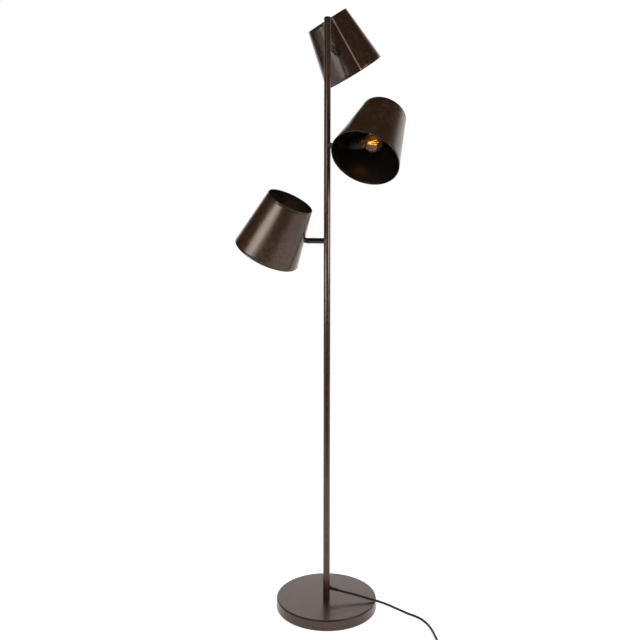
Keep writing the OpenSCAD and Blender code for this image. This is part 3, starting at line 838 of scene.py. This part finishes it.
class LAMP_OT_plug(bpy.types.Operator):
    """Add the flat two-pin plug with its ribbed tail and the sleeves on its pins"""

    bl_idname = "lamp.plug"
    bl_label = "Add Plug"

    def execute(self, context):
        self.add_shell()
        self.add_sleeves()
        return {"FINISHED"}

    def add_shell(self):
        """Each row is the outline |x / a|^n + |z / b|^n = 1 at one distance along the plug. The
        round ribbed tail, where n is 2, flares to a flat body, where n is 4.2. The body has a
        waist, and its far edge is rounded."""
        along = np.concatenate([
            np.linspace(0, 14, 60), np.linspace(14.3, 38.6, 60), [39.2, 39.7, 39.95, 40.0, 40.0]
        ])
        flare = smooth_step((along - 12) / 17)
        tail = 4.6 + 1.4 * np.clip(along / 14, 0, 1)
        rib = 0.45 * ridges(along / 2.8, 4) * (along < 13)
        half_w = (tail - rib) * (1 - flare) + 17.5 * flare
        half_h = (tail - rib) * (1 - flare) + 7.0 * flare
        edge = np.interp(along, [39.0, 39.7, 39.95, 40.0], [0, 0.5, 1.1, 1.6])
        edge[-1] = 7.0
        waist = 0.9 * np.exp(-(((along - 27) / 6) ** 2))
        n = (2 + 2.2 * flare)[:, None]
        angle = np.linspace(0, 2 * np.pi, 96, endpoint=False)
        c, s = np.cos(angle), np.sin(angle)
        outline = (np.abs(c) ** n + np.abs(s) ** n) ** (-1 / n)
        x = np.maximum(half_w - edge - waist, 0)[:, None] * outline * c
        z = np.maximum(half_h - edge, 0)[:, None] * outline * s
        x[-1] *= 0.6
        y = np.broadcast_to(along[:, None], x.shape)
        grid = np.stack([x, y, z], axis=-1) * mm + PLUG_START
        start = np.broadcast_to(grid[0].mean(axis=0), grid[:1].shape)
        end = np.broadcast_to(grid[-1].mean(axis=0), grid[:1].shape)
        add_piece("plug_shell", [np.concatenate([start, grid, end])], "root", black_plastic(),
                  ["plug_body"])

    def add_sleeves(self):
        """A thin round sleeve over the near half of each pin."""
        sleeve = rounded(np.array([
            [-0.5, 1.9], [-0.5, 2.12], [9.6, 2.12], [10, 1.9]]) * mm, 0.12 * mm, closed=True)
        x, y, z = PLUG_START
        places = [shift(x + side * PIN_SPACING / 2, y + PLUG_LEN, z) @ turn("x", -90)
                  for side in (-1, 1)]
        add_piece("pin_sleeves", [placed(revolved(sleeve, 32), place) for place in places], "root",
                  black_plastic(), closed_rows=True)


class LAMP_OT_base(bpy.types.Operator):
    """Add the round base's spun cover"""

    bl_idname = "lamp.base"
    bl_label = "Add Base"

    def execute(self, context):
        # The profile runs up the wall, round the edge and in to the centre, and back inside
        low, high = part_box("base_cover")
        r, edge, wall = (high.x - low.x) / 2, sizes().base_edge, 1.5 * mm
        outer = rounded(
            [(low.z + 0.3 * mm, r - 0.5 * mm), (low.z + 0.3 * mm, r), (high.z, r), (high.z, 0)],
            np.array([0, 0.4 * mm, edge * 1.25, 0]), 9)
        inner = [(high.z - wall, 0), (high.z - wall, r - wall - 1.5 * mm),
                 (high.z - wall - 1.5 * mm, r - wall), (low.z, r - wall)]
        crown = np.linspace(0.97, 0.03, 12)[:, None] * [0, 1] * (r - 2 * edge) + [high.z, 0]
        profile = np.concatenate([outer[:-1], crown, outer[-1:], inner])
        finish = bronze("Aged bronze base", Scale=30.0, Flecks=0.5, Smooth=0.32, Dull=0.45,
                        Ground=(0.05, 0.022, 0.012))
        add_piece("base_dish", [revolved(profile, 192)], "root", finish, ["base_cover"],
                  closed_rows=True)
        return {"FINISHED"}


class LAMP_OT_pole(bpy.types.Operator):
    """Add the pole's two tubes with the joint between them, and its flat cap"""

    bl_idname = "lamp.pole"
    bl_label = "Add Pole"

    def execute(self, context):
        # Round profiles turned about the pole's axis: closed rings for the tubes, a cap above
        # The pole's bronze is a lighter copy of the shades' bronze: a painted reflection of the
        # pale floor.
        finish = bronze("Aged bronze pole with painted reflection", Ground=(0.062, 0.034, 0.018),
                        Rubbed=(0.13, 0.076, 0.048))
        bore = POLE_R - POLE_WALL
        for node in ("pole_lower", "pole_upper"):
            low, high = (corner.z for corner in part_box(node))
            tube = rounded([(low, bore), (low, POLE_R), (high, POLE_R), (high, bore)],
                           0.35 * mm, closed=True)
            add_piece(node + "_tube", [placed(revolved(tube, 64), POLE)], "root", finish,
                      [node], closed_rows=True)
        low, top = (corner.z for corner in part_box("pole_cap"))
        seam, rim, spigot = top - 4 * mm, POLE_R + 0.5 * mm, 6.9 * mm
        profile = rounded(
            [(low, 0), (low, spigot), (seam, spigot), (seam + 0.1 * mm, rim), (top, rim),
             (top, 0)],
            np.array([0.2, 0.2, 0.1, 0.3, 0.8, 0.5]) * mm, 6)
        add_piece("pole_end", [placed(revolved(profile, 64), POLE)], "root", dark_bronze(),
                  ["pole_cap"])
        return {"FINISHED"}


class LAMP_OT_arms(bpy.types.Operator):
    """Add the arms, their welds on the pole, hinges and knuckles"""

    bl_idname = "lamp.arms"
    bl_label = "Add Arms"

    def execute(self, context):
        self.add_welds()
        softened_copy("arm_stubs", dark_bronze())
        for head in HEADS:
            softened_copy(head + "_arm", dark_bronze(), 0.35 * mm)
            softened_copy(head + "_knuckle", dark_bronze(), 0.3 * mm)
            for node in ("_hinge_screw", "_hinge_nut", "_arm_screw", "_shade_ring"):
                softened_copy(head + node, dull_steel(), 0.12 * mm)
        return {"FINISHED"}

    def add_welds(self):
        """A fillet round each stub's root. Its radius falls from 8.2 mm on the pole to the
        stub's as the cube of what is left of its length, and its first row lies on the pole:
        x = sqrt(pole radius squared - y squared)."""
        share = np.linspace(0, 1, 16)[:, None]
        angle = np.linspace(0, 2 * np.pi, 72, endpoint=False)
        ripple = 0.12 * mm * np.sin(14 * angle) * (1 - share)
        radius = ARM_R + 0.02 * mm + 1.15 * mm * (1 - share) ** 3 + ripple * (1 - share)
        y = radius * np.cos(angle)
        root = np.sqrt(POLE_R**2 - np.minimum(np.abs(y), POLE_R) ** 2) - 0.2 * mm
        x = root + (STUB_REACH - 2.5 * mm - root) * share
        weld = np.stack([x, y, radius * np.sin(angle)], axis=-1)
        mask = np.broadcast_to((1 - share) ** 2 * 0.35, radius.shape)
        add_piece("arm_welds", [placed(weld, head_frame(head)) for head in HEADS], "root",
                  bronze("Aged bronze welded", welded=True),
                  masks={"weld": np.stack([mask] * len(HEADS))})


class LAMP_OT_shades(bpy.types.Operator):
    """Add the three cone shades with rounded rims and a weld along each"""

    bl_idname = "lamp.shades"
    bl_label = "Add Shades"

    def execute(self, context):
        for head in HEADS:
            self.add_shade(head)
        return {"FINISHED"}

    def add_shade(self, head):
        """The wall's profile runs up the outside, round the large rim, down the inside and
        round the small rim. The weld adds weld_height times exp(-(distance / weld_width)^2)
        to the radius, with a slow ripple along it."""
        wall, lip = sizes().shade_wall, sizes().lip_radius
        width, height = sizes().weld_width, sizes().weld_height
        share = np.linspace(0, 1, 40)[1:-1]
        outside = np.stack([share * SHADE_LEN, SMALL_R + (LARGE_R - SMALL_R) * share], axis=1)
        inside = outside[::-1] - [0, wall / cos(LEAN)]
        bow = np.linspace(-90, 90, 9)
        large = self.rim(SHADE_LEN - lip, LARGE_R - lip * tan(LEAN) - wall / 2, lip, -bow)
        small = self.rim(lip, SMALL_R + lip * tan(LEAN) - wall / 2, lip, 180 - bow)
        profile = np.concatenate([outside, large, inside, small])
        # The columns are close together within four widths of the weld
        fine = np.linspace(-4, 4, 33) * width / LARGE_R
        seam = radians(180 + SEAM_ANGLE)
        rest = np.linspace(fine[-1], 2 * np.pi + fine[0], 170)[1:-1]
        angle = seam + np.concatenate([fine, rest])
        away = (angle - seam + np.pi) % (2 * np.pi) - np.pi
        distance = away[None, :] * profile[:, 1:]
        outer = (np.arange(len(profile)) < len(outside) + 4)[:, None]
        ripple = 1 + 0.25 * np.sin(profile[:, :1] / (2.2 * mm))
        bead = np.exp(-((distance / width) ** 2))
        grid = revolved(profile, angles=angle)
        push = bead * ripple * height * np.where(outer, 1.0, -0.6)
        push_out(grid, push, angle)
        # The inside mask marks the inner wall's rows, which get painted shadow.
        add_piece(head + "_cone", [placed(grid, shade_axis_frame(head))], head + "_head_body",
                  bronze("Aged bronze shade", welded=True, Scale=13.0, Amount=0.55),
                  [head + "_shade"], closed_rows=True,
                  masks={"weld": bead * outer, "inside": np.broadcast_to(~outer, bead.shape)})

    @staticmethod
    def rim(along, radius, lip, degrees):
        """Half a circle round a rim's centreline, from the outside to the inside or back."""
        a = np.radians(degrees)
        return np.stack([along + lip * np.cos(a), radius - lip * np.sin(a)], axis=1)


class LAMP_OT_lampholders(bpy.types.Operator):
    """Add the lampholders with their stepped shoulders and fluted skirts"""

    bl_idname = "lamp.lampholders"
    bl_label = "Add Lampholders"

    def execute(self, context):
        # The skirt gets rows of its own, for flutes whose section is a raised cosine squared
        back, front, r = KNUCKLE_REACH + 4.2 * mm, HOLDER_FRONT, HOLDER_R
        bore, floor = 10 * mm, back + 10 * mm
        corners = np.array([
            [back, 5 * mm], [back, 9 * mm], [back + 3 * mm, 11.5 * mm], [back + 8 * mm, 12.6 * mm],
            [back + 9 * mm, r], [front - 16 * mm, r], [front - 15.6 * mm, r - 0.7 * mm],
            [front - 14.2 * mm, r - 0.7 * mm], [front - 13.8 * mm, r], [front - 1 * mm, r],
            [front, r - 1.4 * mm], [front, bore], [floor, bore], [floor, 5 * mm],
        ])
        profile = rounded(corners, 0.45 * mm, closed=True)
        cut = 9 * len(profile) // len(corners)
        dense = np.linspace(front - 13 * mm, front - 2 * mm, 24)
        skirt = np.stack([dense, np.full_like(dense, r)], axis=1)
        profile = np.concatenate([profile[:cut], skirt, profile[cut:]])
        flutes = sizes().holder_flutes
        angle = np.linspace(0, 2 * np.pi, flutes * 8, endpoint=False)
        grid = revolved(profile, angles=angle)
        along, radius = profile.T
        on_skirt = smooth_step((along - front + 12.5 * mm) / (1.5 * mm)) * smooth_step(
            (front - 2.5 * mm - along) / (1.5 * mm)) * (radius > r - 0.05 * mm)
        depth = 0.35 * mm * on_skirt[:, None] * ridges(flutes * angle / (2 * np.pi), 2)
        push_out(grid, -depth, angle)
        for head in HEADS:
            add_piece(head + "_lampholder", [placed(placed(grid, ALONG_X), shade_frame(head))],
                      head + "_head_body", black_plastic(), [head + "_holder"],
                      closed_rows=True)
            softened_copy(head + "_holder_core", pale_plastic(), 0.3 * mm)
        return {"FINISHED"}


class LAMP_OT_bulbs(bpy.types.Operator):
    """Add the golf-ball bulbs: glass, lit strips and the wires that hold them"""

    bl_idname = "lamp.bulbs"
    bl_label = "Add Bulbs"

    def execute(self, context):
        outer, inner = self.glass_profile(0), self.glass_profile(0.7 * mm)
        glass = revolved(np.concatenate([outer, inner[::-1]]), 96)
        for head in HEADS:
            place = shade_frame(head) @ ALONG_X
            body = head + "_head_body"
            add_piece(head + "_bulb_envelope", [placed(glass, place)], body, bulb_glass(),
                      [head + "_bulb_glass"], closed_rows=True)
            add_piece(head + "_lit_strips", [placed(g, place) for g in self.strips()], body,
                      lit_filament(), [head + "_filament"])
            add_piece(head + "_strip_wires", [placed(g, place) for g in self.wires()], body,
                      nickel_brass())
        return {"FINISHED"}

    @staticmethod
    def glass_profile(inset):
        """A straight neck, a cubic flare that leaves it level and meets the globe along its
        tangent, and the globe to its far pole."""
        r, neck, join = BULB_R - inset, NECK_R - inset, radians(38)
        start = np.array([NECK_FROM + 4 * mm, neck])
        end = np.array([BULB_CENTRE - r * cos(join), r * sin(join)])
        reach = np.linalg.norm(end - start)
        t = np.linspace(0, 1, 14)[:, None]
        leave, meet = np.array([1.0, 0.0]) * reach, np.array([sin(join), cos(join)]) * reach
        flare = ((2 * t**3 - 3 * t**2 + 1) * start + (t**3 - 2 * t**2 + t) * leave
                 + (3 * t**2 - 2 * t**3) * end + (t**3 - t**2) * meet)
        turned = np.linspace(join, np.pi, 40)[1:]
        globe = np.stack([BULB_CENTRE - r * np.cos(turned), r * np.sin(turned)], axis=1)
        return np.concatenate([[[NECK_FROM + inset, neck]], flare, globe])

    @staticmethod
    def rod(length, r, sides=16):
        """A rod along Z with round ends."""
        end = np.linspace(0, 90, 5)
        a, b = np.radians(end), np.radians(end[::-1])
        first = np.stack([r - r * np.cos(a), r * np.sin(a)], axis=1)
        last = np.stack([length - r + r * np.cos(b), r * np.sin(b)], axis=1)
        return revolved(np.concatenate([first, last]), sides)

    def strips(self):
        """Four strips that lean out from the stem."""
        strip = self.rod(STRIP_LEN, 0.9 * mm)
        return [placed(strip, turn("z", a) @ shift(1.8 * mm, 0, STRIP_FROM) @ turn("y", 8))
                for a in STRIP_TURNS]

    def wires(self):
        """The stem, the middle wire and the spokes that carry the strips' ends."""
        stem_from = NECK_FROM + 0.7 * mm
        stem = placed(self.rod(STRIP_FROM - stem_from, 2.4 * mm), shift(z=stem_from))
        middle = placed(self.rod(27 * mm, 0.4 * mm), shift(z=STRIP_FROM - 1 * mm))
        tops = self.spokes(6.2 * mm, STRIP_FROM + 25.6 * mm)
        return [stem, middle, *tops, *self.spokes(2.6 * mm, STRIP_FROM)]

    def spokes(self, length, height):
        """A spoke from the stem to each strip."""
        spoke = self.rod(length, SPOKE_R, 10)
        return [placed(spoke, turn("z", a) @ shift(z=height) @ turn("y", 90))
                for a in STRIP_TURNS]


class LAMP_OT_hidden_parts(bpy.types.Operator):
    """Finish the CAD nodes that stay: pad, weight, fastenings, wiring and pins"""

    bl_idname = "lamp.hidden_parts"
    bl_label = "Finish Inner Parts"

    def execute(self, context):
        foam = grained(
            "Pad foam", (0.03, 0.03, 0.03), scale=300.0, bump=0.5, smooth=0.75, dull=0.95)
        cast = grained("Cast weight", (0.08, 0.08, 0.085), scale=200.0, bump=0.6, smooth=0.55,
                       dull=0.75, Metallic=0.6)
        finishes = (
            (foam, ["base_pad"]),
            (cast, ["base_weight"]),
            (zinc_steel(), ["base_washer", "base_nut", "pole_foot", "pole_coupler",
                            "switch_screws"]),
            (cord_jacket(), ["inner_cable"]),
            (pale_plastic(), ["terminal_block", "switch_module"]),
            (nickel_brass(), ["plug_pins", *(head + "_bulb_cap" for head in HEADS)]),
        )
        for material, nodes in finishes:
            for node in nodes:
                data = frame["nodes"][node].data
                data.materials.clear()
                data.materials.append(material)
        return {"FINISHED"}


class LAMP_OT_studio(bpy.types.Operator):
    """Add the pale floor, the world and three soft lights"""

    bl_idname = "lamp.studio"
    bl_label = "Add Studio"

    def execute(self, context):
        studio = context.scene.lamp_studio
        self.add_floor()
        self.add_world(studio.world_level)
        self.add_light("Key", -46, 1.15, 0.945, (0.95, 0.3), 10, studio.key_power, 70)
        self.add_light("Upper", -31, 1.5, 1.65, (0.7, 0.5), 0, studio.upper_power)
        self.add_light("Fill", 59, 1.6, 1.18, (0.8, 0.45), 0, studio.fill_power,
                       colour=(1, 0.9, 0.93))
        context.scene.view_settings.view_transform = "Standard"
        return {"FINISHED"}

    def add_floor(self):
        """A flat disc."""
        disc = revolved([(0, FLOOR_R), (0, 0)], 64)
        data = bpy.data.meshes.new("floor")
        data.from_pydata(disc.reshape(-1, 3), [], grid_faces(2, 64, False, True))
        data.materials.append(self.floor_material())
        link_object("floor", data)

    def floor_material(self):
        """Pale matt floor. Rays from the camera, glossy rays and rays through glass see it
        white, and it keeps a part of its shading, so that the lamp's shadow stays. The pale
        sheet ends about 1.3 m in front of the lamp, except for the camera."""
        material, tree = new_material("Pale floor")
        tree.nodes.remove(tree.nodes["Principled BSDF"])
        path = add_node(tree, "LightPath").outputs
        place = add_node(tree, "TexCoord").outputs["Object"]
        across = add_node(tree, "SeparateXYZ", {0: place}).outputs["Y"]
        sheet = remapped(tree, across, -1.4, -1.15, 0.08, 1.0)
        pale = calculated(tree, "MAXIMUM", sheet, path["Is Camera Ray"])
        grey = mixed(tree, pale, (0, 0, 0), (0.82, 0.82, 0.82))
        white = calculated(tree, "MULTIPLY", self.seen(tree, path), pale)
        matt = add_node(tree, "BsdfDiffuse", {"Color": grey})
        bright = add_node(
            tree, "Emission", {"Strength": calculated(tree, "MULTIPLY", white, 0.72)})
        total = add_node(tree, "AddShader", {0: matt.outputs[0], 1: bright.outputs[0]})
        tree.links.new(total.outputs[0], tree.nodes["Material Output"].inputs["Surface"])
        return material

    @staticmethod
    def seen(tree, path):
        """1 for camera, glossy and transmission rays."""
        first = calculated(tree, "MAXIMUM", path["Is Camera Ray"], path["Is Glossy Ray"])
        return calculated(tree, "MAXIMUM", first, path["Is Transmission Ray"])

    def add_world(self, level):
        """White where the camera and glass look, and an even light for matt surfaces. Gloss
        sees a white sheet behind the lamp, about 40 degrees high, in a dark studio."""
        world = bpy.data.worlds.new("Studio")
        bpy.context.scene.world = world
        world.use_nodes = True
        tree = world.node_tree
        path = add_node(tree, "LightPath").outputs
        ray = add_node(tree, "TexCoord").outputs["Generated"]
        aim = add_node(tree, "VectorMath", {0: ray, 1: (0.23, 0.97, 0)}, operation="DOT_PRODUCT")
        wide = remapped(tree, aim.outputs["Value"], 0.5, 0.68)
        rise = add_node(tree, "SeparateXYZ", {0: ray}).outputs["Z"]
        sheet = calculated(tree, "MULTIPLY", wide, remapped(tree, rise, 0.74, 0.58))
        gloss = path["Is Glossy Ray"]
        white = calculated(tree, "MAXIMUM", sheet, calculated(tree, "SUBTRACT", 1.0, gloss))
        dim = calculated(tree, "SUBTRACT", 1.0, remapped(tree, sheet, 0, 1, 0.015, 1.25))
        mirrored = calculated(tree, "SUBTRACT", 1.0, calculated(tree, "MULTIPLY", gloss, dim))
        light = tree.nodes["Background"].inputs
        set_input(tree, light["Color"], mixed(tree, white, (1.0, 0.75, 0.55), (1, 1, 1)))
        set_input(tree, light["Strength"],
                  remapped(tree, self.seen(tree, path), 0, 1, level, mirrored))

    def add_light(self, name, azimuth, distance, height, size, roll, power, spread=180,
                  colour=(1, 1, 1)):
        """An upright area light that faces the pole. Its azimuth runs from the front to the
        right, in degrees, its roll lifts its left end, and a spread below 180 degrees dims it
        away from its axis."""
        data = bpy.data.lights.new(name, "AREA")
        data.shape, data.size, data.size_y = "RECTANGLE", size[0], size[1]
        data.energy, data.spread, data.color = power, radians(spread), colour
        lamp = link_object(name, data)
        heading = radians(azimuth)
        lamp.location = (distance * sin(heading), -distance * cos(heading), height)
        lamp.rotation_euler = (radians(90), radians(roll), heading)


class LAMP_PT_panel(bpy.types.Panel):
    """Lists the lamp's sizes, colours and pieces"""

    bl_idname = "LAMP_PT_panel"
    bl_label = "Floor Lamp"
    bl_space_type = "VIEW_3D"
    bl_region_type = "UI"
    bl_category = "Floor Lamp"

    def draw(self, context):
        layout = self.layout
        for group in (context.scene.lamp_sizes, context.scene.lamp_colours,
                      context.scene.lamp_studio):
            box = layout.box()
            for name in group.bl_rna.properties.keys():
                if name not in ("rna_type", "name"):
                    box.prop(group, name)
        for operator in OPERATORS:
            layout.operator(operator.bl_idname)


OPERATORS = (
    LAMP_OT_camera, LAMP_OT_cord, LAMP_OT_bush, LAMP_OT_foot_switch, LAMP_OT_plug, LAMP_OT_base,
    LAMP_OT_pole, LAMP_OT_arms, LAMP_OT_shades, LAMP_OT_lampholders, LAMP_OT_bulbs,
    LAMP_OT_hidden_parts, LAMP_OT_studio,
)
CLASSES = (LampSizes, LampColours, StudioSettings, *OPERATORS, LAMP_PT_panel)


def register():
    for cls in CLASSES:
        bpy.utils.register_class(cls)
    bpy.types.Scene.lamp_sizes = PointerProperty(type=LampSizes)
    bpy.types.Scene.lamp_colours = PointerProperty(type=LampColours)
    bpy.types.Scene.lamp_studio = PointerProperty(type=StudioSettings)


def unregister():
    del bpy.types.Scene.lamp_studio
    del bpy.types.Scene.lamp_colours
    del bpy.types.Scene.lamp_sizes
    for cls in reversed(CLASSES):
        bpy.utils.unregister_class(cls)


def main():
    register()
    for operator in OPERATORS:
        getattr(bpy.ops.lamp, operator.bl_idname.split(".")[1])()


if __name__ == "__main__":
    main()
